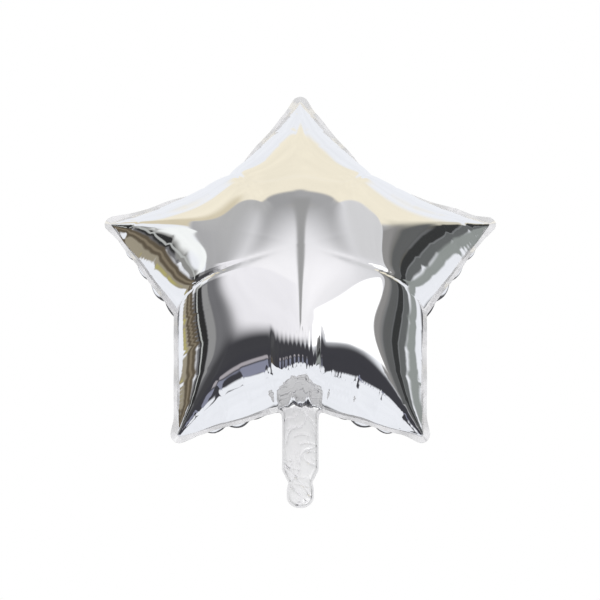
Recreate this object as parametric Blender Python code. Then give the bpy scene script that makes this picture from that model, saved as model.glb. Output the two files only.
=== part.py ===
"""Star foil balloon: two foil sheets welded round a star and blown up, with an inlet neck and a round tab.

Upright frame in metres: X across, Z up, the front faces -Y. The origin is the middle of the waist, where
the neck is tied.
"""

import math

import bpy
import numpy as np
from mathutils import Vector
from mathutils.geometry import delaunay_2d_cdt

# Star outline along the weld
ARMS = 5
TIP_RADIUS = 0.2050
NOTCH_RADIUS = 0.1300
SIDE_NOTCH_LIFT = 0.0050
TIP_ROUND = 0.0025
NOTCH_ROUND = 0.0080

# Blown-up form
HALF_DEPTH = 0.0910
ARM_FULLNESS = 1.20
NOTCH_FULLNESS = 0.50
CROWN = 0.065
CROWN_REACH = 0.075
FLANGE = 0.0035
TIP_TAB = 0.0032
WELD_THICK = 0.0008

# Neck and tab, measured to the weld
NECK_DROP = 0.2115
NECK_HALF = 0.0163
NECK_FLANGE = 0.0015
NECK_PUFF = 0.0034
NECK_ROUND = 0.0060
NECK_TAPER = 0.0130
NECK_FOLD = 0.0008
WAIST_HALF = 0.0100
WAIST_ROUND = 0.0050
TAB_HALF = 0.0116
TAB_SHOULDER = 0.0065
TAB_ROUND = 0.0104
TAB_DROP = 0.0240
SHOULDER = 0.0160
UNION = 3

# Puckers gathered by the weld
PUCKERS = 5
PUCKER_DEPTH = 0.30
PUCKER_WIDTH = 0.0030
PUCKER_REACH = 0.013
SEAM_WAVE = 0.0012
NOTCH_CREASE = 0.40
NOTCH_CREASE_WIDTH = 0.0026
SIDE_CREASE_REACH = 0.034
UPPER_CREASE_REACH = 0.018

# Bulges of the rear sheet past the weld, between the puckers
OVERHANG = 0.0090
OVERHANG_PEAK = 0.0075

# Gathers over the inlet valve, heights from the star's centre
VALVE_ASIDE = -0.0045
VALVE_HALF = 0.0240
VALVE_TOP = -0.072
VALVE_EDGE = -0.119
VALVE_SAG = 0.010
PLEATS = 12
PLEAT_HEIGHT = 0.0004
PANEL_RISE = 0.0016
VALVE_CREASE = 0.0016
CREASE_WIDTH = 0.0022

# Fineness of the facets
PUCKER_STEPS = 6
RINGS = (0.0026, 0.0058, 0.0098, 0.0150, 0.0215, 0.0300)
MOUTH_ASIDE = 0.0220
MOUTH_RISES = (-0.0015, 0.0010, 0.0035, 0.0070, 0.0115, 0.0170, 0.0240, 0.0320)
NECK_STEP = 0.0042
ARC_STEP = 24.0
COARSE = 0.0135

FOIL_COLOUR = (0.80, 0.80, 0.82, 1.0)
FOIL_ROUGHNESS = 0.07


def polar(radius, degrees):
    angle = math.radians(degrees)
    return np.array((radius * math.cos(angle), radius * math.sin(angle)))


def smooth(x, low, high):
    t = np.clip((x - low) / (high - low), 0.0, 1.0)
    return t * t * (3 - 2 * t)


def notch_corners():
    """The star's inner corners, anticlockwise from the one over the neck; the side ones sit higher."""
    corners = [polar(NOTCH_RADIUS, 270 + 360 / ARMS * k) for k in range(ARMS)]
    for k in (1, ARMS - 1):
        corners[k] = corners[k] + np.array((0.0, SIDE_NOTCH_LIFT))
    return corners


def star_edges():
    """The ten edges of the star's weld line, anticlockwise, each from its tip to a notch."""
    edges = []
    for k in range(ARMS):
        tip = polar(TIP_RADIUS, 270 + 360 / ARMS * (k + 0.5))
        edges.append((tip, NOTCHES[k]))
        edges.append((tip, NOTCHES[(k + 1) % ARMS]))
    return edges


NOTCHES = notch_corners()
EDGES = star_edges()
EDGE_LENGTH = float(np.linalg.norm(EDGES[0][1] - EDGES[0][0]))


def crotch_height():
    """Height at which the weld leaves the star and turns down the neck."""
    tip, notch = EDGES[0]
    share = (NECK_HALF - tip[0]) / (notch[0] - tip[0])
    return float(tip[1] + share * (notch[1] - tip[1]))


CROTCH = crotch_height()


def star_corners():
    """Corners of the star, anticlockwise from the first arm, as (point, rounding, spacing to the next)."""
    corners = []
    pitch = EDGE_LENGTH / (PUCKER_STEPS * PUCKERS)
    for k in range(ARMS):
        tip, notch = EDGES[2 * k + 1]
        corners.append((tip, TIP_ROUND, pitch))
        corners.append((notch, NOTCH_ROUND, pitch))
    return corners


def outline_corners():
    """Corners of the whole weld line, with the neck and the tab in place of the lowest notch."""
    corners = star_corners()[:-1]
    side = (
        (CROTCH, NECK_HALF, NECK_ROUND),
        (NECK_TAPER - NECK_DROP, NECK_HALF, NECK_ROUND),
        (-NECK_DROP, WAIST_HALF, WAIST_ROUND),
        (-NECK_DROP - TAB_SHOULDER, TAB_HALF, WAIST_ROUND),
        (-NECK_DROP - TAB_DROP, TAB_HALF, TAB_ROUND),
    )
    for height, half, rounding in side:
        corners.append((np.array((-half, height)), rounding, NECK_STEP))
    for height, half, rounding in reversed(side):
        corners.append((np.array((half, height)), rounding, NECK_STEP))
    return corners


def rounded_loop(corners):
    """Points and outward normals along the rounded outline; every second one, valleys too, has rank 1."""
    count = len(corners)
    arcs = []
    for i in range(count):
        here, rounding, _ = corners[i]
        back = corners[i - 1][0] - here
        ahead = corners[(i + 1) % count][0] - here
        back /= np.linalg.norm(back)
        ahead /= np.linalg.norm(ahead)
        half = math.acos(float(back @ ahead)) / 2
        reach = rounding / math.tan(half)
        middle = here + (back + ahead) / np.linalg.norm(back + ahead) * rounding / math.sin(half)
        inward = back[0] * ahead[1] - back[1] * ahead[0]
        arcs.append((here + back * reach, middle, math.pi - 2 * half, inward < 0, reach))
    points, normals, ranks = [], [], []
    for i in range(count):
        here, _, pitch = corners[i]
        first, middle, turn, convex, reach = arcs[i]
        radius = np.linalg.norm(first - middle)
        steps = max(2, math.ceil(math.degrees(turn) / ARC_STEP), 2 * round(radius * turn / pitch / 2))
        start = math.atan2(*(first - middle)[::-1])
        for j in range(steps + 1):
            angle = start + (turn if convex else -turn) * j / steps
            out = np.array((math.cos(angle), math.sin(angle)))
            points.append(middle + out * radius)
            normals.append(out if convex else -out)
            ranks.append(1 - (j - steps // 2) % 2)
        there = corners[(i + 1) % count][0]
        length = np.linalg.norm(there - here)
        along = (there - here) / length
        for j in range(1, round(length / pitch)):
            far = j * length / round(length / pitch)
            if reach + 0.4 * pitch < far < length - arcs[(i + 1) % count][4] - 0.4 * pitch:
                points.append(here + along * far)
                normals.append(np.array((along[1], -along[0])))
                ranks.append(1 - j % 2)
    return np.array(points), np.array(normals), np.array(ranks)


LOOP, LOOP_OUT, LOOP_RANK = rounded_loop(outline_corners())
STAR, _, _ = rounded_loop(star_corners())


def loop_parts(points, outline):
    """For each point and outline piece: the distance, that to its line, and the signed angle it spans."""
    a = outline[None] - points[:, None]
    b = np.roll(outline, -1, axis=0)[None] - points[:, None]
    side = b - a
    length = np.linalg.norm(side, axis=2)
    along = np.clip(-(a * side).sum(axis=2) / length**2, 0.0, 1.0)
    nearest = np.linalg.norm(a + side * along[..., None], axis=2)
    cross = a[..., 0] * b[..., 1] - a[..., 1] * b[..., 0]
    return nearest, np.abs(cross) / length, np.arctan2(cross, (a * b).sum(axis=2))


def spread(points):
    """A smooth distance to the star's outline, zero on it and outside, and highest in the middle."""
    _, line, seen = loop_parts(points, STAR)
    inside = seen.sum(axis=1) > math.pi
    return inside / (np.abs(seen) / np.maximum(line, 1e-6)).sum(axis=1)


PEAK = float(spread(np.zeros((1, 2)))[0])


def edge_frames(points):
    """For each star edge: the place along it as a share of its length, and the distance from it."""
    shares, gaps = [], []
    for tip, notch in EDGES:
        along = notch - tip
        share = np.clip((points - tip) @ along / (along @ along), 0.0, 1.0)
        foot = tip + share[:, None] * (notch - tip)
        shares.append(share)
        gaps.append(np.linalg.norm(points - foot, axis=1))
    return np.array(shares), np.array(gaps)


def star_share(points):
    """How much of each point belongs to the star rather than to the neck below it."""
    beside = smooth(np.abs(points[:, 0]), NECK_HALF, NECK_HALF + SHOULDER)
    above = smooth(points[:, 1], CROTCH - SHOULDER, CROTCH + 0.25 * SHOULDER)
    return beside + above - beside * above


def flange_width():
    """Width of the flat flange outside each weld point, wider at the five tips and narrow along the neck."""
    width = NECK_FLANGE + (FLANGE - NECK_FLANGE) * star_share(LOOP)
    for tip, _ in EDGES[::2]:
        away = np.linalg.norm(LOOP - tip, axis=1)
        width += TIP_TAB * (1 - smooth(away, 0.0, 9 * TIP_ROUND))
    return width


def puckers(points, face):
    """How far the puckers draw the foil in, how far the weld waves, and how far the walls bulge."""
    shares, gaps = edge_frames(points)
    weight = np.maximum(gaps, 1e-4) ** -4
    weight /= weight.sum(axis=0)
    drawn = np.zeros(len(points))
    wave = np.zeros(len(points))
    bulge = np.zeros(points.shape)
    for k, (tip, notch) in enumerate(EDGES):
        side = notch - tip
        length = np.linalg.norm(side)
        out = np.array((side[1], -side[0])) / length
        out *= np.sign(out @ (tip + notch))
        phase = shares[k] * PUCKERS
        number = np.floor(phase + 0.5)
        uneven = 0.7 + 0.3 * np.sin(2.3 * number + 1.7 * k + face)
        valley = np.exp(-np.abs(phase - number) * length / PUCKERS / PUCKER_WIDTH)
        fade = np.exp(-((gaps[k] / PUCKER_REACH) ** 1.5)) * smooth(shares[k], 0.02, 0.20)
        drawn += weight[k] * valley * uneven * fade
        wave += weight[k] * np.sin(math.pi * phase + k) * np.exp(-gaps[k] / PUCKER_REACH)
        scallop = 0.35 + 0.65 * np.abs(np.sin(math.pi * phase)) ** 0.7
        far, drop = (0.50, 1.0) if notch is NOTCHES[0] else (0.70, 0.5)
        ends = smooth(shares[k], 0.06, 0.30) * (1 - drop * smooth(shares[k], far, far + 0.30))
        rise = gaps[k] / OVERHANG_PEAK * np.exp(1 - gaps[k] / OVERHANG_PEAK)
        bulge += (weight[k] * scallop * ends * rise)[:, None] * out
    return PUCKER_DEPTH * drawn, SEAM_WAVE * wave, OVERHANG * bulge * star_share(points)[:, None]


def notch_creases(points):
    """The one deep crease that runs from each notch towards the middle."""
    drawn = np.zeros(len(points))
    for notch in NOTCHES[1:]:
        radius = np.linalg.norm(notch)
        way = notch / radius
        inward = radius - points @ way
        aside = np.abs(points @ np.array((way[1], -way[0])))
        reach = UPPER_CREASE_REACH if way[1] > 0.5 else SIDE_CREASE_REACH
        drawn += np.exp(-aside / NOTCH_CREASE_WIDTH) * np.exp(-np.abs(inward) / reach)
    return NOTCH_CREASE * drawn


def valve(points):
    """Height of the front's gathers over the valve: a raised panel between two creases, pleated above."""
    x = (points[:, 0] - VALVE_ASIDE) / VALVE_HALF
    z = points[:, 1]
    foot = VALVE_EDGE + VALVE_SAG * x**2
    pleated = smooth(z, foot - 0.003, foot + 0.012) * (1 - smooth(z, VALVE_TOP - 0.020, VALVE_TOP))
    panel = smooth(z, CROTCH + 0.002, CROTCH + 0.018) * (1 - smooth(z, VALVE_TOP - 0.026, VALVE_TOP - 0.004))
    within = 1 - smooth(np.abs(x), 0.88, 1.0)
    pleats = PLEAT_HEIGHT * (1.6 * np.abs(np.cos(math.pi * PLEATS / 2 * x)) - 1) * pleated * within
    raised = PANEL_RISE * np.clip(1 - x**2, 0.0, 1.0) * panel
    creases = VALVE_CREASE * np.exp(-np.abs(np.abs(x) - 1) * VALVE_HALF / CREASE_WIDTH) * panel
    return pleats + raised - creases


def neck_height(points, gap, face):
    """Height of the slack neck: flat and thin, with uneven folds across it."""
    share = np.clip(gap / NECK_HALF, 0.0, 1.0)
    x, z = points.T
    bend = 1.1 * np.sin(95 * z + 160 * x + face)
    folds = NECK_FOLD * (np.abs(np.sin(150 * x + 210 * z + bend)) - 0.6)
    height = NECK_PUFF * np.sqrt(1 - (1 - share) ** 2) + folds * smooth(gap, 0.0, 0.003)
    return np.maximum(height, 0.0) * (1 - smooth(z, CROTCH, CROTCH + SHOULDER))


def sheet(points, face):
    """The foil sheet's points over the weld's plane: face is 1 for the front and -1 for the back."""
    gap = loop_parts(points, LOOP)[0].min(axis=1)
    drawn, wave, bulge = puckers(points, face)
    level = np.clip(spread(points) / PEAK * (1 - drawn - notch_creases(points)), 0.0, 1.0)
    around = ARMS * (np.arctan2(points[:, 1], points[:, 0]) - math.pi / 2)
    power = (ARM_FULLNESS + NOTCH_FULLNESS) / 2 + (ARM_FULLNESS - NOTCH_FULLNESS) / 2 * np.cos(around)
    crown = 1 - CROWN * (1 - np.exp(-(points**2).sum(axis=1) / CROWN_REACH**2))
    star = HALF_DEPTH * crown * (1 - (1 - level) ** 2) ** power
    height = (star**UNION + neck_height(points, gap, face) ** UNION) ** (1 / UNION)
    if face > 0:
        height = height + valve(points) * smooth(gap, 0.0, 0.006)
    height[gap < 1e-6] = 0.0
    height = face * (height + WELD_THICK / 2) + wave * star_share(points)
    moved = points if face > 0 else points + bulge
    return np.stack([moved[:, 0], -height, moved[:, 1] + NECK_DROP], axis=1)


def inner_points(coarser):
    """Points inside the weld line: rings that follow it and a field of wider triangles in the middle."""
    kept = []
    for number, inset in enumerate(RINGS):
        ring = LOOP - LOOP_OUT * inset
        ranked = ring[LOOP_RANK >= (0, 0, coarser, 1, 1, 1)[number]]
        nearest = loop_parts(ranked, LOOP)[0].min(axis=1)
        ranked = ranked[nearest > 0.93 * inset]
        kept.append(ranked)
    rise = COARSE * math.sqrt(0.75)
    rows = math.ceil(TIP_RADIUS / rise)
    for row in range(-rows, rows + 1):
        x = (np.arange(-rows, rows + 1) + 0.5 * (row % 2)) * COARSE
        field = np.stack([x, np.full(len(x), row * rise)], axis=1)
        kept.append(well_inside(field, RINGS[-1] + 0.55 * COARSE))
    return np.concatenate(kept)


def well_inside(points, margin):
    """The points that lie inside the weld line by more than the margin."""
    nearest, _, seen = loop_parts(points, LOOP)
    return points[(seen.sum(axis=1) > math.pi) & (nearest.min(axis=1) > margin)]


def valve_points():
    """Points fine enough for the pleats, and fewer on the panel below them."""
    columns = np.linspace(-1.0, 1.0, 4 * PLEATS + 1)
    sparse = np.array((-1.12, -1.0, -0.88, -0.45, 0.0, 0.45, 0.88, 1.0, 1.12))
    found = []
    for share in np.linspace(0.0, 1.0, 8):
        z = VALVE_EDGE + share * (VALVE_TOP - VALVE_EDGE) + VALVE_SAG * columns**2 * (1 - share)
        found.append(np.stack([VALVE_ASIDE + VALVE_HALF * columns, z], axis=1))
    for share in (0.25, 0.5, 0.75):
        z = CROTCH + share * (VALVE_EDGE - CROTCH) + VALVE_SAG * share * np.minimum(sparse**2, 1.0)
        found.append(np.stack([VALVE_ASIDE + VALVE_HALF * sparse, z], axis=1))
    return np.concatenate(found)


def mouth_points():
    """Points fine enough for the rear sheet's steep wall over the neck, in rows along the star's edge."""
    tip, notch = EDGES[0]
    columns = np.linspace(-MOUTH_ASIDE, MOUTH_ASIDE, 11)
    line = notch[1] + (tip[1] - notch[1]) / (tip[0] - notch[0]) * np.abs(columns)
    return np.concatenate([np.stack([columns, line + rise], axis=1) for rise in MOUTH_RISES])


def triangulated(points):
    """Triangles over the weld loop and the inner points, all facing +Y in the plane."""
    loop = list(range(len(LOOP)))
    spots = [Vector(p) for p in np.concatenate([LOOP, points])]
    result = delaunay_2d_cdt(spots, [], [loop], 1, 1e-7)
    return np.array([tuple(v) for v in result[0]]), [tuple(f) for f in result[2]]


def build_mesh():
    vertices, faces = [], []
    for face in (1, -1):
        inner = inner_points(coarser=0 if face > 0 else 1)
        if face > 0:
            aside = np.abs(inner[:, 0] - VALVE_ASIDE) / VALVE_HALF
            clear = VALVE_TOP + 0.4 * COARSE
            covered = (aside < 1.2) & (inner[:, 1] > CROTCH + RINGS[2]) & (inner[:, 1] < clear)
            finer = valve_points()
        else:
            clear = CROTCH + MOUTH_RISES[-1] + RINGS[1]
            covered = (np.abs(inner[:, 0]) < MOUTH_ASIDE) & (inner[:, 1] > CROTCH) & (inner[:, 1] < clear)
            finer = well_inside(mouth_points(), 0.9 * RINGS[0])
        inner = np.concatenate([inner[~covered], finer])
        spots, triangles = triangulated(inner)
        base = len(vertices)
        vertices.extend(sheet(spots, face).tolist())
        for a, b, c in triangles:
            faces.append((base + a, base + b, base + c) if face > 0 else (base + a, base + c, base + b))
        rim = len(vertices)
        outer = LOOP + LOOP_OUT * flange_width()[:, None]
        rise = 1.4 * puckers(LOOP, face)[1] * star_share(LOOP) + face * WELD_THICK / 2
        vertices.extend(np.stack([outer[:, 0], -rise, outer[:, 1] + NECK_DROP], axis=1).tolist())
        count = len(LOOP)
        for i in range(count):
            j = (i + 1) % count
            quad = (base + i, rim + i, rim + j, base + j)
            faces.append(quad if face > 0 else quad[::-1])
        if face > 0:
            front_rim = rim
        else:
            for i in range(count):
                j = (i + 1) % count
                faces.append((front_rim + i, rim + i, rim + j, front_rim + j))
    return vertices, faces


def foil():
    material = bpy.data.materials.new("silver_foil")
    material.use_nodes = True
    shader = material.node_tree.nodes["Principled BSDF"]
    shader.inputs["Base Color"].default_value = FOIL_COLOUR
    shader.inputs["Roughness"].default_value = FOIL_ROUGHNESS
    shader.inputs["Metallic"].default_value = 1.0
    return material


def main():
    for old in list(bpy.data.objects):
        bpy.data.objects.remove(old)
    vertices, faces = build_mesh()
    mesh = bpy.data.meshes.new("star_balloon")
    mesh.from_pydata(vertices, [], faces)
    mesh.validate()
    mesh.polygons.foreach_set("use_smooth", [True] * len(mesh.polygons))
    mesh.materials.append(foil())
    bpy.context.collection.objects.link(bpy.data.objects.new("star_balloon", mesh))


main()
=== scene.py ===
"""Looks of the star foil balloon: a fine foil skin in place of the solid, a studio and the photo's camera."""
import math

import bpy
import numpy as np
from mathutils import Matrix, Vector
from mathutils.geometry import delaunay_2d_cdt


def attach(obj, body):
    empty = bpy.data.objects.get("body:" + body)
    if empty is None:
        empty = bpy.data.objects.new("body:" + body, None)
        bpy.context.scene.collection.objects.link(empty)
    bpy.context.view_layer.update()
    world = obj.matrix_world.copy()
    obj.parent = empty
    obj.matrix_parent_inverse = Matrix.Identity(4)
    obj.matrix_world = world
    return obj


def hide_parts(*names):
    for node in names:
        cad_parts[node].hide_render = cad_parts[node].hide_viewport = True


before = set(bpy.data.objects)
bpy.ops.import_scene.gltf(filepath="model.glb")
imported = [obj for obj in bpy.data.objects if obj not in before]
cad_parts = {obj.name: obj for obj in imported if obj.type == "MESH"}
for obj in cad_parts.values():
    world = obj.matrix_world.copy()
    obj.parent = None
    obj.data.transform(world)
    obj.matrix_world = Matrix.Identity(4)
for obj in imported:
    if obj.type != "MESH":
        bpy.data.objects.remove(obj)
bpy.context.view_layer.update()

# Form of the solid, as in the part
ARMS = 5
TIP_RADIUS = 0.2050
NOTCH_RADIUS = 0.1300
SIDE_NOTCH_LIFT = 0.0050
TIP_ROUND = 0.0025
NOTCH_ROUND = 0.0080
HALF_DEPTH = 0.0910
ARM_FULLNESS = 1.20
NOTCH_FULLNESS = 0.50
CROWN = 0.065
CROWN_REACH = 0.075
FLANGE = 0.0035
TIP_TAB = 0.0032
WELD_THICK = 0.0008
NECK_DROP = 0.2115
NECK_HALF = 0.0163
NECK_FLANGE = 0.0015
NECK_PUFF = 0.0034
NECK_ROUND = 0.0060
NECK_TAPER = 0.0130
WAIST_HALF = 0.0100
WAIST_ROUND = 0.0050
TAB_HALF = 0.0116
TAB_SHOULDER = 0.0065
TAB_ROUND = 0.0104
TAB_DROP = 0.0240
PUCKERS = 5
PUCKER_REACH = 0.013
SEAM_WAVE = 0.0012
OVERHANG = 0.0090
OVERHANG_PEAK = 0.0075
SIDE_CREASE_REACH = 0.034
UPPER_CREASE_REACH = 0.018
SHOULDER = 0.0160
UNION = 3
VALVE_ASIDE = -0.0045
VALVE_HALF = 0.0240
VALVE_TOP = -0.072
VALVE_SAG = 0.010
PLEATS = 12

# Puckers, creases and valve panel. They are also in the part, with other depths and widths, because a mirror
# shows each slope.
PUCKER_DEPTH = 0.20
PUCKER_WIDTH = 0.0022
NOTCH_CREASE = 0.32
NOTCH_CREASE_WIDTH = 0.0020
VALVE_EDGE = -0.121
FOOT_FALL = 0.005
PLEAT_HEIGHT = 0.00016
PANEL_RISE = 0.0060
VALVE_CREASE = 0.0009
CREASE_WIDTH = 0.0014

# Fine gathers that the solid leaves out
FINE_PITCH = 0.0036
FINE_HEIGHT = 0.00022
FINE_REACH = 0.013

# Finer gathers: number of the star's edge, from and to as shares of it, pitch and height
RIPPLES = (
    (0, 0.25, 0.85, 0.0026, 0.00006),
    (8, 0.40, 1.05, 0.0037, 0.00014),
)
RIPPLE_REACH = 0.030

# Creases of the slack neck: radians per metre across and down, and depth. Then their width, and the radians
# per metre across and down at which they bend and at which they break off.
NECK_FOLDS = (
    (210.0, 190.0, 0.0006),
    (-240.0, 150.0, 0.0006),
    (60.0, -330.0, 0.0005),
    (340.0, 60.0, 0.0004),
)
FOLD_WIDTH = 0.0009
FOLD_BEND = (160, 95)
FOLD_GAPS = (170, 140)

# Fineness of the skin
LOOP_STEP = 0.0012
LOOP_TURN = 7.0
COARSE_STEP = 0.0042
COARSE_TURN = 12.0
RING_STEPS = (
    0.0005, 0.0007, 0.0009, 0.0010, 0.0011, 0.0012, 0.0013,
    0.0014, 0.0015, 0.0016, 0.0017, 0.0018, 0.0019, 0.0020,
)
HALVED_FROM = 6
FIELD = 0.0022

# Finish of the smooth foil and of the crimped foil: name, smooth value and crimped value. Neck and tab are
# crimped, the flange in part, and the deepest creases of the neck are smooth, from a start and with a gain.
FINISH = (
    ("Metallic", 1.0, 0.18),
    ("Roughness", 0.04, 0.20),
)
FLANGE_CRIMP = 0.8
CREASE_GAIN = 2.2
CREASE_START = 0.3

# Camera: tilt upwards in degrees, distance to the star's middle, and where that lies in the photo, with the
# photo's pixels per metre there
TILT = 22.45
AWAY = 1.986
FRAME = 600
MIDDLE = (300.3, 280.9)
PIXELS_PER_METRE = 988.8
SENSOR = 36.0

# Floor and light
FLOOR_HEIGHT = -0.66
FLOOR_REACH = 5.0
EVEN_LIGHT = (0.97, 0.97, 0.97, 1.0)
WHITE = (1.0, 1.0, 1.0, 1.0)
MOTTLE_LOW = 0.92
MOTTLE_SPAN = 0.16


def polar(radius, degrees):
    angle = math.radians(degrees)
    return np.array((radius * math.cos(angle), radius * math.sin(angle)))


def smooth(x, low, high):
    t = np.clip((x - low) / (high - low), 0.0, 1.0)
    return t * t * (3 - 2 * t)


def notch_corners():
    """Inner corners anticlockwise from the one over the neck; the two at the sides sit higher."""
    corners = [polar(NOTCH_RADIUS, 270 + 360 / ARMS * k) for k in range(ARMS)]
    for k in (1, ARMS - 1):
        corners[k] = corners[k] + np.array((0.0, SIDE_NOTCH_LIFT))
    return corners


def star_edges():
    edges = []
    for k in range(ARMS):
        tip = polar(TIP_RADIUS, 270 + 360 / ARMS * (k + 0.5))
        edges.append((tip, NOTCHES[k]))
        edges.append((tip, NOTCHES[(k + 1) % ARMS]))
    return edges


NOTCHES = notch_corners()
EDGES = star_edges()


def crotch_height():
    tip, notch = EDGES[0]
    share = (NECK_HALF - tip[0]) / (notch[0] - tip[0])
    return float(tip[1] + share * (notch[1] - tip[1]))


CROTCH = crotch_height()


def star_corners():
    corners = []
    for k in range(ARMS):
        tip, notch = EDGES[2 * k + 1]
        corners.append((tip, TIP_ROUND))
        corners.append((notch, NOTCH_ROUND))
    return corners


def outline_corners():
    corners = star_corners()[:-1]
    side = (
        (CROTCH, NECK_HALF, NECK_ROUND),
        (NECK_TAPER - NECK_DROP, NECK_HALF, NECK_ROUND),
        (-NECK_DROP, WAIST_HALF, WAIST_ROUND),
        (-NECK_DROP - TAB_SHOULDER, TAB_HALF, WAIST_ROUND),
        (-NECK_DROP - TAB_DROP, TAB_HALF, TAB_ROUND),
    )
    for height, half, rounding in side:
        corners.append((np.array((-half, height)), rounding))
    for height, half, rounding in reversed(side):
        corners.append((np.array((half, height)), rounding))
    return corners


def rounded_loop(corners, step, turn_step):
    """Points along the rounded outline, about step apart, with the outward normal at each."""
    count = len(corners)
    arcs = []
    for i in range(count):
        here, rounding = corners[i]
        back = corners[i - 1][0] - here
        ahead = corners[(i + 1) % count][0] - here
        back /= np.linalg.norm(back)
        ahead /= np.linalg.norm(ahead)
        half = math.acos(float(back @ ahead)) / 2
        reach = rounding / math.tan(half)
        middle = here + (back + ahead) / np.linalg.norm(back + ahead) * rounding / math.sin(half)
        inward = back[0] * ahead[1] - back[1] * ahead[0]
        arcs.append((here + back * reach, middle, math.pi - 2 * half, inward < 0, reach))
    points, normals = [], []
    for i in range(count):
        here, _ = corners[i]
        first, middle, turn, convex, reach = arcs[i]
        radius = np.linalg.norm(first - middle)
        steps = max(2, math.ceil(math.degrees(turn) / turn_step), math.ceil(radius * turn / step))
        start = math.atan2(*(first - middle)[::-1])
        for j in range(steps + 1):
            angle = start + (turn if convex else -turn) * j / steps
            out = np.array((math.cos(angle), math.sin(angle)))
            points.append(middle + out * radius)
            normals.append(out if convex else -out)
        there = corners[(i + 1) % count][0]
        length = np.linalg.norm(there - here)
        along = (there - here) / length
        start, end = reach, length - arcs[(i + 1) % count][4]
        pieces = max(1, round((end - start) / step))
        for j in range(1, pieces):
            points.append(here + along * (start + (end - start) * j / pieces))
            normals.append(np.array((along[1], -along[0])))
    return np.array(points), np.array(normals)


LOOP, LOOP_OUT = rounded_loop(outline_corners(), LOOP_STEP, LOOP_TURN)
WHOLE, _ = rounded_loop(outline_corners(), COARSE_STEP, COARSE_TURN)
STAR, _ = rounded_loop(star_corners(), COARSE_STEP, COARSE_TURN)


def in_parts(function, points, outline, size=3000):
    """The function over the points a few at a time, so that the tables of distances stay small."""
    found = [function(points[i : i + size], outline) for i in range(0, len(points), size)]
    if isinstance(found[0], tuple):
        return tuple(np.concatenate(part) for part in zip(*found))
    return np.concatenate(found)


def loop_field(points, outline):
    """A smooth distance to the outline, the plain distance, and whether the point is inside."""
    a = outline[None] - points[:, None]
    b = np.roll(a, -1, axis=1)
    side = b - a
    length = np.linalg.norm(side, axis=2)
    along = np.clip(-(a * side).sum(axis=2) / length**2, 0.0, 1.0)
    nearest = np.linalg.norm(a + side * along[..., None], axis=2).min(axis=1)
    cross = a[..., 0] * b[..., 1] - a[..., 1] * b[..., 0]
    dots = (a * b).sum(axis=2)
    seen = np.arctan2(np.abs(cross), dots)
    total = (seen / np.maximum(np.abs(cross) / length, 1e-7)).sum(axis=1)
    turned = np.arctan2(cross, dots).sum(axis=1)
    return 1.0 / total, nearest, turned > math.pi


PEAK = float(loop_field(np.zeros((1, 2)), STAR)[0][0])


def edge_frames(points):
    shares, gaps = [], []
    for tip, notch in EDGES:
        along = notch - tip
        share = np.clip((points - tip) @ along / (along @ along), 0.0, 1.0)
        foot = tip + share[:, None] * (notch - tip)
        shares.append(share)
        gaps.append(np.linalg.norm(points - foot, axis=1))
    return np.array(shares), np.array(gaps)


def puckers(points, face):
    """How far the foil is drawn in by the puckers, how far the weld waves, and the fine gathers' height."""
    shares, gaps = edge_frames(points)
    weight = np.maximum(gaps, 1e-4) ** -4
    weight /= weight.sum(axis=0)
    drawn = np.zeros(len(points))
    wave = np.zeros(len(points))
    fine = np.zeros(len(points))
    for k, (tip, notch) in enumerate(EDGES):
        length = np.linalg.norm(notch - tip)
        phase = shares[k] * PUCKERS
        number = np.floor(phase + 0.5)
        uneven = 0.7 + 0.3 * np.sin(2.3 * number + 1.7 * k + face)
        aside = np.abs(phase - number) * length / PUCKERS
        valley = np.exp(-aside / PUCKER_WIDTH)
        fade = np.exp(-((gaps[k] / PUCKER_REACH) ** 1.5)) * smooth(shares[k], 0.02, 0.20)
        drawn += weight[k] * valley * uneven * fade
        wave += weight[k] * np.sin(math.pi * phase + k) * np.exp(-gaps[k] / PUCKER_REACH)
        along = shares[k] * length
        strength = 0.5 + 0.5 * np.sin(9.0 * shares[k] + 2.1 * k + face)
        ripple = np.sin(2 * math.pi * along / FINE_PITCH + 1.5 * np.sin(along * 190 + k))
        fading = smooth(shares[k], 0.05, 0.25) * np.exp(-((gaps[k] / FINE_REACH) ** 2))
        fine += FINE_HEIGHT * weight[k] * ripple * strength * fading
    for k, start, end, pitch, height in RIPPLES:
        tip, notch = EDGES[k]
        along = shares[k] * np.linalg.norm(notch - tip)
        middle = smooth(shares[k], start, start + 0.15) * (1 - smooth(shares[k], end - 0.15, end))
        ripple = np.sin(2 * math.pi * along / pitch + 0.8 * np.sin(along * 260))
        fine += height * weight[k] * ripple * middle * np.exp(-((gaps[k] / RIPPLE_REACH) ** 4))
    return PUCKER_DEPTH * drawn, SEAM_WAVE * wave, fine


def overhang(points):
    """How far the walls bulge past the weld between two puckers, as a shift in the weld's plane."""
    shares, gaps = edge_frames(points)
    weight = np.maximum(gaps, 1e-4) ** -4
    weight /= weight.sum(axis=0)
    shift = np.zeros(points.shape)
    for k, (tip, notch) in enumerate(EDGES):
        along = (notch - tip) / np.linalg.norm(notch - tip)
        out = np.array((along[1], -along[0])) * (-1 if k % 2 else 1)
        if out @ (tip + notch) < 0:
            out = -out
        scallop = 0.35 + 0.65 * np.abs(np.sin(math.pi * shares[k] * PUCKERS)) ** 0.7
        far, drop = (0.50, 1.0) if notch is NOTCHES[0] else (0.70, 0.5)
        ends = smooth(shares[k], 0.06, 0.30) * (1 - drop * smooth(shares[k], far, far + 0.30))
        rise = gaps[k] / OVERHANG_PEAK * np.exp(1 - gaps[k] / OVERHANG_PEAK)
        shift += (weight[k] * scallop * ends * rise)[:, None] * out
    return OVERHANG * shift * star_share(points)[:, None]


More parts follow.
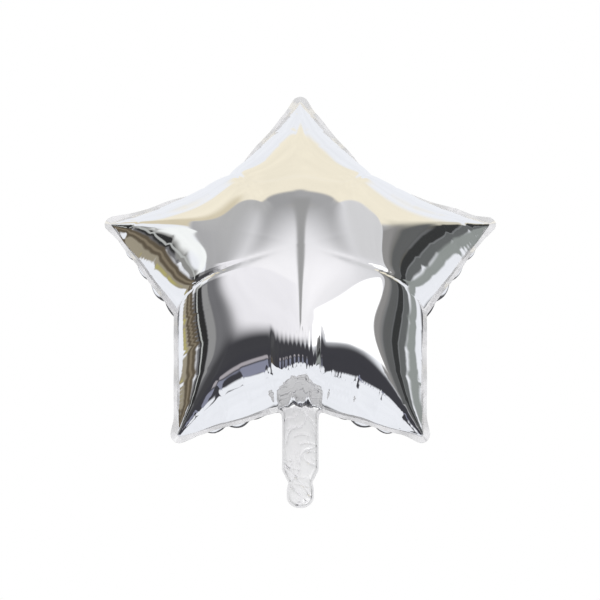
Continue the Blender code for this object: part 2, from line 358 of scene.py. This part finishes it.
def notch_creases(points):
    drawn = np.zeros(len(points))
    for notch in NOTCHES[1:]:
        radius = np.linalg.norm(notch)
        way = notch / radius
        inward = radius - points @ way
        aside = np.abs(points @ np.array((way[1], -way[0])))
        reach = UPPER_CREASE_REACH if way[1] > 0.5 else SIDE_CREASE_REACH
        drawn += np.exp(-aside / NOTCH_CREASE_WIDTH) * np.exp(-np.abs(inward) / reach)
    return NOTCH_CREASE * drawn


def valve(points):
    """Height of the gathers over the valve: a swelling, pleated panel between two creases."""
    x = (points[:, 0] - VALVE_ASIDE) / VALVE_HALF
    z = points[:, 1]
    foot = VALVE_EDGE + VALVE_SAG * x**2
    pleated = smooth(z, foot - 0.002, foot + 0.003) * (1 - smooth(z, VALVE_TOP - 0.030, VALVE_TOP - 0.004))
    panel = smooth(z, CROTCH + 0.002, CROTCH + 0.018) * (1 - smooth(z, VALVE_TOP - 0.026, VALVE_TOP - 0.004))
    within = 1 - smooth(np.abs(x), 0.88, 1.0)
    pleats = PLEAT_HEIGHT * (1.6 * np.abs(np.cos(math.pi * PLEATS / 2 * x)) - 1) * pleated * within
    swelling = np.clip((VALVE_TOP - z) / (VALVE_TOP - foot), 0.0, 1.0) ** 2.0
    swelling = swelling * smooth(z, foot - FOOT_FALL, foot + 0.001)
    raised = PANEL_RISE * np.clip(1 - x**4, 0.0, 1.0) * swelling
    creases = VALVE_CREASE * np.exp(-np.abs(np.abs(x) - 1) * VALVE_HALF / CREASE_WIDTH) * panel
    return pleats + raised - creases


def crinkles(points, face):
    """Thin creases in the slack foil of the neck, each of them broken up."""
    x, z = points.T
    total = np.zeros(len(points))
    for number, (across, down, depth) in enumerate(NECK_FOLDS):
        bend = 1.1 * np.sin(FOLD_BEND[1] * z + FOLD_BEND[0] * x + 1.9 * number + face)
        aside = np.abs(np.sin(across * x + down * z + bend + 0.7 * number * face)) / math.hypot(across, down)
        breaks = np.sin(FOLD_GAPS[0] * x * (-1) ** number + FOLD_GAPS[1] * z + 2.4 * number + face)
        present = smooth(breaks, -0.1, 0.5)
        total -= depth * np.exp(-aside / FOLD_WIDTH) * present
    return total


def star_share(points):
    """How much of each point belongs to the star rather than to the neck below it."""
    beside = smooth(np.abs(points[:, 0]), NECK_HALF, NECK_HALF + SHOULDER)
    above = smooth(points[:, 1], CROTCH - SHOULDER, CROTCH + 0.25 * SHOULDER)
    return beside + above - beside * above


def neck_share(points):
    """How much of each point belongs to the slack neck."""
    beside = smooth(np.abs(points[:, 0]), NECK_HALF, NECK_HALF + 0.25 * SHOULDER)
    above = smooth(points[:, 1], CROTCH - 0.25 * SHOULDER, CROTCH + 0.1 * SHOULDER)
    return (1 - beside) * (1 - above)


def sheet(points, face):
    """Height of one foil sheet over the weld's plane: face is 1 for the front and -1 for the back."""
    _, gap, _ = in_parts(loop_field, points, WHOLE)
    reach, _, inside = in_parts(loop_field, points, STAR)
    reach = reach * inside
    drawn, wave, fine = puckers(points, face)
    level = np.clip(reach / PEAK * (1 - drawn - notch_creases(points)), 0.0, 1.0)
    around = ARMS * (np.arctan2(points[:, 1], points[:, 0]) - math.pi / 2)
    power = (ARM_FULLNESS + NOTCH_FULLNESS) / 2 + (ARM_FULLNESS - NOTCH_FULLNESS) / 2 * np.cos(around)
    crown = 1 - CROWN * (1 - np.exp(-(points**2).sum(axis=1) / CROWN_REACH**2))
    star = HALF_DEPTH * crown * (1 - (1 - level) ** 2) ** power + fine * smooth(gap, 0.0, 0.004)
    share = np.clip(gap / NECK_HALF, 0.0, 1.0)
    neck = NECK_PUFF * np.sqrt(1 - (1 - share) ** 2)
    neck = neck + crinkles(points, face) * smooth(gap, 0.0, 0.003) * neck_share(points)
    body = star_share(points)
    neck = neck * (1 - smooth(points[:, 1], CROTCH, CROTCH + SHOULDER))
    height = (np.maximum(star, 0.0) ** UNION + np.maximum(neck, 0.0) ** UNION) ** (1 / UNION)
    if face > 0:
        height = height + valve(points) * smooth(gap, 0.0, 0.006)
    height[: len(LOOP)] = 0.0
    return face * (height + WELD_THICK / 2) + wave * body


def flange_width():
    width = NECK_FLANGE + (FLANGE - NECK_FLANGE) * star_share(LOOP)
    for tip, _ in EDGES[::2]:
        away = np.linalg.norm(LOOP - tip, axis=1)
        width += TIP_TAB * (1 - smooth(away, 0.0, 9 * TIP_ROUND))
    return width


# Parts of the skin with finer points: from and to across, then from and to in height
RIPPLE_BOX = (0.020, 0.095, -0.140, -0.090)
RUNG_BOX = (-0.120, -0.088, -0.090, -0.010)
PLEAT_BOX = (
    VALVE_ASIDE - 1.12 * VALVE_HALF,
    VALVE_ASIDE + 1.12 * VALVE_HALF,
    VALVE_EDGE - 0.006,
    VALVE_TOP + 0.004,
)
NECK_BOX = (-1.2 * NECK_HALF, 1.2 * NECK_HALF, -NECK_DROP - TAB_DROP, CROTCH - 0.002)
BOXES = (PLEAT_BOX, NECK_BOX, RIPPLE_BOX, RUNG_BOX)


def in_box(points, *boxes):
    """Whether each point lies in one of the boxes."""
    x, z = points.T
    found = np.zeros(len(points), dtype=bool)
    for left, right, low, high in boxes:
        found |= (x > left) & (x < right) & (z > low) & (z < high)
    return found


def skin_points():
    """Points inside the weld line: fine rings that follow it, then an even field."""
    kept = []
    inset = 0.0
    for number, step in enumerate(RING_STEPS):
        inset += step
        ring = LOOP - LOOP_OUT * inset
        if number >= HALVED_FROM:
            finer = in_box(ring, RIPPLE_BOX, RUNG_BOX)
            ring = ring[finer | (np.arange(len(ring)) % 2 == 0)]
        _, nearest, inside = in_parts(loop_field, ring, WHOLE)
        kept.append(ring[inside & (nearest > 0.94 * inset) & ~(in_box(ring, NECK_BOX) & (nearest > 0.0008))])
    rise = FIELD * math.sqrt(0.75)
    rows = math.ceil((TIP_RADIUS + TAB_DROP) / rise)
    for row in range(-rows, rows + 1):
        x = (np.arange(-rows, rows + 1) + 0.5 * (row % 2)) * FIELD
        line = np.stack([x, np.full(len(x), row * rise)], axis=1)
        _, nearest, inside = loop_field(line, WHOLE)
        kept.append(line[inside & ~in_box(line, *BOXES) & (nearest > inset + 0.6 * FIELD)])
    beyond = 0.6 * FIELD + inset
    for box, across, down, clear in (
        (PLEAT_BOX, 0.0008, 0.0014, beyond),
        (RIPPLE_BOX, 0.0008, 0.0014, beyond),
        (RUNG_BOX, 0.0014, 0.0010, beyond),
        (NECK_BOX, 0.0009, 0.0009, 0.0008),
    ):
        grid = np.meshgrid(np.arange(box[0], box[1], across), np.arange(box[2], box[3], down))
        spots = np.stack([part.ravel() for part in grid], axis=1)
        _, nearest, inside = in_parts(loop_field, spots, WHOLE)
        kept.append(spots[inside & (nearest > clear) & ((box != RIPPLE_BOX) | ~in_box(spots, PLEAT_BOX))])
    return np.concatenate(kept)


def build_skin():
    """Both foil sheets, the flange round them and its edge, with how crimped the foil is at each point."""
    inner = skin_points()
    spots = [Vector(p) for p in np.concatenate([LOOP, inner])]
    result = delaunay_2d_cdt(spots, [], [list(range(len(LOOP)))], 1, 1e-7)
    flat = np.array([tuple(v) for v in result[0]])
    triangles = np.array(result[2], dtype=np.int64)
    count = len(LOOP)
    ring = np.arange(count)
    following = np.roll(ring, -1)
    outer = LOOP + LOOP_OUT * flange_width()[:, None]
    vertices, faces, crimp = [], [], []
    base = 0
    for face in (1, -1):
        height = sheet(flat, face)
        rim_height = 1.4 * puckers(LOOP, face)[1] * star_share(LOOP) + face * WELD_THICK / 2
        moved = flat if face > 0 else flat + overhang(flat)
        places = np.stack([moved[:, 0], -height, moved[:, 1] + NECK_DROP], axis=1)
        vertices.append(places)
        vertices.append(places[:count])
        vertices.append(np.stack([outer[:, 0], -rim_height, outer[:, 1] + NECK_DROP], axis=1))
        weld = base + len(flat)
        rim = weld + count
        quads = np.stack([weld + ring, rim + ring, rim + following, weld + following], axis=1)
        faces.extend((triangles + base if face > 0 else triangles[:, ::-1] + base).tolist())
        faces.extend((quads if face > 0 else quads[:, ::-1]).tolist())
        creased = np.abs(crinkles(flat, face))
        sharp = np.clip(CREASE_GAIN * creased / creased.max() - CREASE_START, 0.0, 1.0)
        crimp.append(neck_share(flat) * (1 - sharp))
        crimp.append(np.full(2 * count, FLANGE_CRIMP))
        base = rim + count
    vertices += [vertices[2], vertices[5]]
    crimp.append(np.ones(2 * count))
    wall = base + np.stack([ring, count + ring, count + following, following], axis=1)
    faces.extend(wall.tolist())
    mesh = bpy.data.meshes.new("foil_skin")
    mesh.from_pydata(np.concatenate(vertices).tolist(), [], faces)
    mesh.attributes.new("crimped", "FLOAT", "POINT").data.foreach_set("value", np.concatenate(crimp))
    mesh.polygons.foreach_set("use_smooth", [True] * len(mesh.polygons))
    skin = bpy.data.objects.new("foil_skin", mesh)
    bpy.context.collection.objects.link(skin)
    return skin


def clouded(name, scale, detail, dark, pale):
    """A material whose colour drifts between two tints."""
    material = bpy.data.materials.new(name)
    material.use_nodes = True
    nodes, links = material.node_tree.nodes, material.node_tree.links
    place = nodes.new("ShaderNodeTexCoord")
    cloud = nodes.new("ShaderNodeTexNoise")
    cloud.inputs["Scale"].default_value = scale
    cloud.inputs["Detail"].default_value = detail
    tint = nodes.new("ShaderNodeValToRGB")
    tint.color_ramp.elements[0].color = dark
    tint.color_ramp.elements[1].color = pale
    links.new(place.outputs["Object"], cloud.inputs["Vector"])
    links.new(cloud.outputs["Fac"], tint.inputs["Fac"])
    links.new(tint.outputs["Color"], nodes["Principled BSDF"].inputs["Base Color"])
    return material, nodes, links, nodes["Principled BSDF"]


def foil_material():
    """Mirror foil, paler and less sharp where it is crimped."""
    foil = clouded("mirror_foil", 9.0, 3.0, (0.91, 0.91, 0.92, 1.0), (0.955, 0.955, 0.96, 1.0))
    material, nodes, links, shader = foil
    crimped = nodes.new("ShaderNodeAttribute")
    crimped.attribute_name = "crimped"
    for name, plain, pressed in FINISH:
        span = nodes.new("ShaderNodeMapRange")
        links.new(crimped.outputs["Fac"], span.inputs["Value"])
        span.inputs["To Min"].default_value = plain
        span.inputs["To Max"].default_value = pressed
        links.new(span.outputs[0], shader.inputs[name])
    return material


def camera():
    """The camera stands in front, below the middle of the star, and looks up at it."""
    tilt = math.radians(TILT)
    centre = Vector((0.0, 0.0, NECK_DROP))
    back = Vector((0.0, -math.cos(tilt), -math.sin(tilt)))
    data = bpy.data.cameras.new("camera")
    data.sensor_width = SENSOR
    data.lens = PIXELS_PER_METRE * AWAY / FRAME * SENSOR
    data.shift_x = (FRAME / 2 - MIDDLE[0]) / FRAME
    data.shift_y = (MIDDLE[1] - FRAME / 2) / FRAME
    item = bpy.data.objects.new("camera", data)
    turned = back.to_track_quat("Z", "Y").to_matrix().to_4x4()
    item.matrix_world = Matrix.Translation(centre + back * AWAY) @ turned
    bpy.context.collection.objects.link(item)
    bpy.context.scene.camera = item


# The room that the foil mirrors, as soft-edged panels by direction, fitted to the photo's mirror images. Only
# glossy rays see it. The azimuth runs from the front towards the picture's right, the elevation up from the
# horizon, both in degrees. Each panel has its azimuth from and to, the softness of those two edges and their
# lean in degrees of azimuth per degree of elevation. Then come the same for its elevation, with the slope in
# degrees of elevation per degree of azimuth, and its colour. A later panel covers an earlier one.
PALE = (0.945, 0.955, 0.975)
PANELS = (
    ("cream ceiling", (-88, 82), (5, 9), 0.0, (34, 63), (1.5, 4), 0.0, (0.965, 0.935, 0.855)),
    ("cream zenith", (-136, 130), (5, 9), 0.0, (60, 91), (4, 1), 0.0, (0.965, 0.935, 0.855)),
    ("cream top", (-181, 181), (1, 1), 0.0, (79, 91), (2, 1), 0.0, (0.965, 0.935, 0.855)),
    ("tan beam", (-96, -38), (4, 6), 0.0, (30, 43), (1.5, 3), 0.0, (0.85, 0.81, 0.71)),
    ("tan beam at the right", (50, 92), (4, 4), 0.0, (20, 37), (2, 3), 0.0, (0.83, 0.81, 0.74)),
    ("wall", (-64, 44.2), (2, 0.5), 0.0, (-30, 38), (2, 1), 0.0, (0.87, 0.87, 0.88)),
    ("wall at the left", (-64, -24), (2, 18), 0.0, (-30, 38), (2, 1), 0.0, (0.68, 0.68, 0.685)),
    ("wall light", (-20, 16), (14, 10), 0.0, (-22, 24), (6, 10), 0.0, (0.985, 0.98, 0.99)),
    ("wall at the right", (20, 44.2), (5, 0.5), 0.0, (22, 38), (6, 1), 0.0, (0.84, 0.84, 0.845)),
    ("sill", (-42, -2), (9, 2), 0.0, (-40, 12.2), (1, 0.7), 0.2, (0.95, 0.945, 0.96)),
    ("shade under the ceiling", (-15, 0.5), (5, 0.5), 0.0, (34, 49.5), (8, 1.5), -0.8, (0.64, 0.64, 0.645)),
    ("shade to the right", (-0.5, 15), (0.5, 6), 0.0, (34, 49.5), (8, 1.5), 0.8, (0.66, 0.66, 0.665)),
    ("shade at the left", (-60, -10), (6, 4), 0.0, (32, 38.5), (4, 0.8), 0.0, (0.72, 0.72, 0.72)),
    ("left room", (-100, -38), (2, 13), 0.0, (-60, 10), (4, 3), 0.0, (0.45, 0.45, 0.46)),
    ("left rungs", (-76, -62), (1.5, 2), 0.0, (-12, 6), (1, 2), 0.0, (0.58, 0.58, 0.58)),
    ("left corner", (-95, -77), (2, 2), 0.0, (-60, 9), (4, 3), 0.0, (0.19, 0.19, 0.19)),
    ("left arm grey", (-98, -76), (1, 2), 0.0, (8, 17), (1, 2), 0.0, (0.57, 0.57, 0.56)),
    ("left arm line", (-91, -88), (0.8, 0.8), 0.0, (-8, 17), (1, 2), 0.0, (0.72, 0.73, 0.72)),
    ("left window", (-97, -88.5), (4, 0.6), -1.0, (11, 28), (3, 0.6), 0.0, (0.98, 0.99, 0.985)),
    ("door", (-115, -97), (2, 3), 0.6, (-40, 24), (4, 2), 0.0, (0.38, 0.345, 0.29)),
    ("door edge", (-108, -104), (1.5, 1.5), 0.6, (-40, 20), (4, 4), 0.0, (0.52, 0.48, 0.41)),
    ("curtain", (-122, -113), (1.5, 2), 0.6, (-14, 18), (3, 2), 0.0, (0.62, 0.59, 0.52)),
    ("yellow curtain", (-122, -116.5), (1.5, 1.5), 0.6, (0, 11), (3, 2), 0.0, (0.70, 0.67, 0.45)),
    ("right room", (44.6, 60), (0.5, 6), 0.0, (-40, 34), (3, 2), 0.0, (0.57, 0.565, 0.56)),
    ("right room, middle", (56, 76), (5, 4), 0.0, (-50, 32), (3, 4), 0.0, (0.38, 0.385, 0.385)),
    ("right corner", (74, 90), (3, 3), 0.0, (-55, 26), (3, 3), 0.0, (0.22, 0.225, 0.225)),
    ("right shelf", (89, 104), (2, 3), 0.0, (-55, 24), (3, 3), 0.0, (0.40, 0.41, 0.41)),
    ("right curtain", (103, 118.5), (4, 2), -0.6, (-55, 26), (3, 3), 0.0, (0.58, 0.60, 0.59)),
    ("left ground", (-92, -38), (3, 8), 0.0, (-62, -18), (3, 9), 0.0, (0.27, 0.27, 0.28)),
    ("ground", (-46, 66), (8, 6), 0.0, (-66, -28), (3, 9), 0.31, (0.26, 0.26, 0.275)),
    ("near ground", (-92, 66), (4, 6), 0.0, (-77.5, -44), (2, 5), 0.0, (0.25, 0.25, 0.27)),
    ("carpet edge", (-31, -13), (2, 3), 0.0, (-67, -62), (1.5, 1.5), 0.31, (0.68, 0.66, 0.68)),
    ("carpet", (-38, -15), (3, 2), 0.0, (-86, -69), (2, 1.5), 0.31, (0.54, 0.55, 0.62)),
    ("bright window", (11.3, 41), (1.2, 1.5), 0.37, (-43, -3.3), (2.5, 0.8), -0.3, (1.12, 1.12, 1.12)),
    ("mast", (-0.9, 1.2), (0.5, 0.3), 0.0, (-12, 44), (8, 2), 0.0, (0.62, 0.62, 0.62)),
    ("back room, left", (-181, -152), (1, 6), 0.0, (-36, 24), (5, 4), 0.0, (0.34, 0.34, 0.35)),
    ("back room, right", (148, 181), (6, 1), 0.0, (-36, 24), (5, 4), 0.0, (0.34, 0.34, 0.35)),
)


def value_node(nodes, links, operation, *inputs):
    node = nodes.new("ShaderNodeMath")
    node.operation = operation
    for place, item in enumerate(inputs):
        if isinstance(item, (int, float)):
            node.inputs[place].default_value = item
        else:
            links.new(item, node.inputs[place])
    return node.outputs[0]


def soft_step(nodes, links, value, low, high, rising):
    node = nodes.new("ShaderNodeMapRange")
    node.interpolation_type = "SMOOTHSTEP"
    links.new(value, node.inputs["Value"])
    node.inputs["From Min"].default_value = low
    node.inputs["From Max"].default_value = high
    node.inputs["To Min"].default_value = 0.0 if rising else 1.0
    node.inputs["To Max"].default_value = 1.0 if rising else 0.0
    return node.outputs[0]


def band(nodes, links, value, ends, softness):
    """One between the two ends and zero outside them, with a soft step at each."""
    (low, high), (low_soft, high_soft) = ends, softness
    rising = soft_step(nodes, links, value, low - low_soft, low + low_soft, True)
    falling = soft_step(nodes, links, value, high - high_soft, high + high_soft, False)
    return value_node(nodes, links, "MULTIPLY", rising, falling)


def linear(colour):
    return tuple(c / 12.92 if c <= 0.04045 else ((c + 0.055) / 1.055) ** 2.4 for c in colour) + (1.0,)


def mixed(nodes, links, amount, first, second):
    node = nodes.new("ShaderNodeMix")
    node.data_type = "RGBA"
    for place, item in ((0, amount), (6, first), (7, second)):
        if isinstance(item, (int, float, tuple)):
            node.inputs[place].default_value = item
        else:
            links.new(item, node.inputs[place])
    return node.outputs[2]


def studio():
    """White for the camera, even soft light for diffuse rays, and the room's panels for glossy rays."""
    world = bpy.data.worlds.new("studio")
    bpy.context.scene.world = world
    world.use_nodes = True
    nodes, links = world.node_tree.nodes, world.node_tree.links
    way = nodes.new("ShaderNodeTexCoord").outputs["Generated"]
    parts = nodes.new("ShaderNodeSeparateXYZ")
    links.new(way, parts.inputs[0])
    x, y, z = parts.outputs
    front = value_node(nodes, links, "MULTIPLY", y, -1.0)
    azimuth = value_node(nodes, links, "DEGREES", value_node(nodes, links, "ARCTAN2", x, front))
    elevation = value_node(nodes, links, "DEGREES", value_node(nodes, links, "ARCSINE", z))
    stretch = nodes.new("ShaderNodeVectorMath")
    stretch.operation = "MULTIPLY"
    stretch.inputs[1].default_value = (1.0, 1.0, 0.45)
    links.new(way, stretch.inputs[0])
    cloud = nodes.new("ShaderNodeTexNoise")
    cloud.inputs["Scale"].default_value = 7.0
    cloud.inputs["Detail"].default_value = 4.0
    links.new(stretch.outputs[0], cloud.inputs["Vector"])
    seen = linear(PALE)
    for _, across, across_soft, lean, up, up_soft, slope, colour in PANELS:
        turned = value_node(nodes, links, "MULTIPLY_ADD", elevation, lean, azimuth)
        raised = value_node(nodes, links, "MULTIPLY_ADD", azimuth, slope, elevation)
        columns = band(nodes, links, turned, across, across_soft)
        rows = band(nodes, links, raised, up, up_soft)
        seen = mixed(nodes, links, value_node(nodes, links, "MULTIPLY", columns, rows), seen, linear(colour))
    mottle = value_node(nodes, links, "MULTIPLY_ADD", cloud.outputs["Fac"], MOTTLE_SPAN, MOTTLE_LOW)
    scaled = nodes.new("ShaderNodeVectorMath")
    scaled.operation = "SCALE"
    links.new(seen, scaled.inputs[0])
    links.new(mottle, scaled.inputs["Scale"])
    rays = nodes.new("ShaderNodeLightPath")
    lit = mixed(nodes, links, rays.outputs["Is Glossy Ray"], EVEN_LIGHT, scaled.outputs[0])
    shown = mixed(nodes, links, rays.outputs["Is Camera Ray"], lit, WHITE)
    links.new(shown, nodes["Background"].inputs["Color"])


def floor():
    """A plain pale floor. It is clear to glossy rays, so the foil mirrors the room's ground in its place."""
    mesh = bpy.data.meshes.new("floor")
    square = ((-1, -1), (1, -1), (1, 1), (-1, 1))
    corners = [(x * FLOOR_REACH, y * FLOOR_REACH, FLOOR_HEIGHT) for x, y in square]
    mesh.from_pydata(corners, [], [(0, 1, 2, 3)])
    ground = bpy.data.objects.new("floor", mesh)
    bpy.context.collection.objects.link(ground)
    pale = clouded("pale_floor", 2.0, 2.0, (0.86, 0.86, 0.87, 1.0), (0.89, 0.89, 0.89, 1.0))
    material, nodes, links, shader = pale
    shader.inputs["Roughness"].default_value = 0.9
    clear = nodes.new("ShaderNodeBsdfTransparent")
    join = nodes.new("ShaderNodeMixShader")
    rays = nodes.new("ShaderNodeLightPath")
    links.new(rays.outputs["Is Glossy Ray"], join.inputs[0])
    links.new(shader.outputs[0], join.inputs[1])
    links.new(clear.outputs[0], join.inputs[2])
    links.new(join.outputs[0], nodes["Material Output"].inputs["Surface"])
    mesh.materials.append(material)


skin = build_skin()
skin.data.materials.append(foil_material())
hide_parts("star_balloon")
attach(skin, "root")
camera()

studio()
floor()
bpy.context.scene.view_settings.view_transform = "Standard"
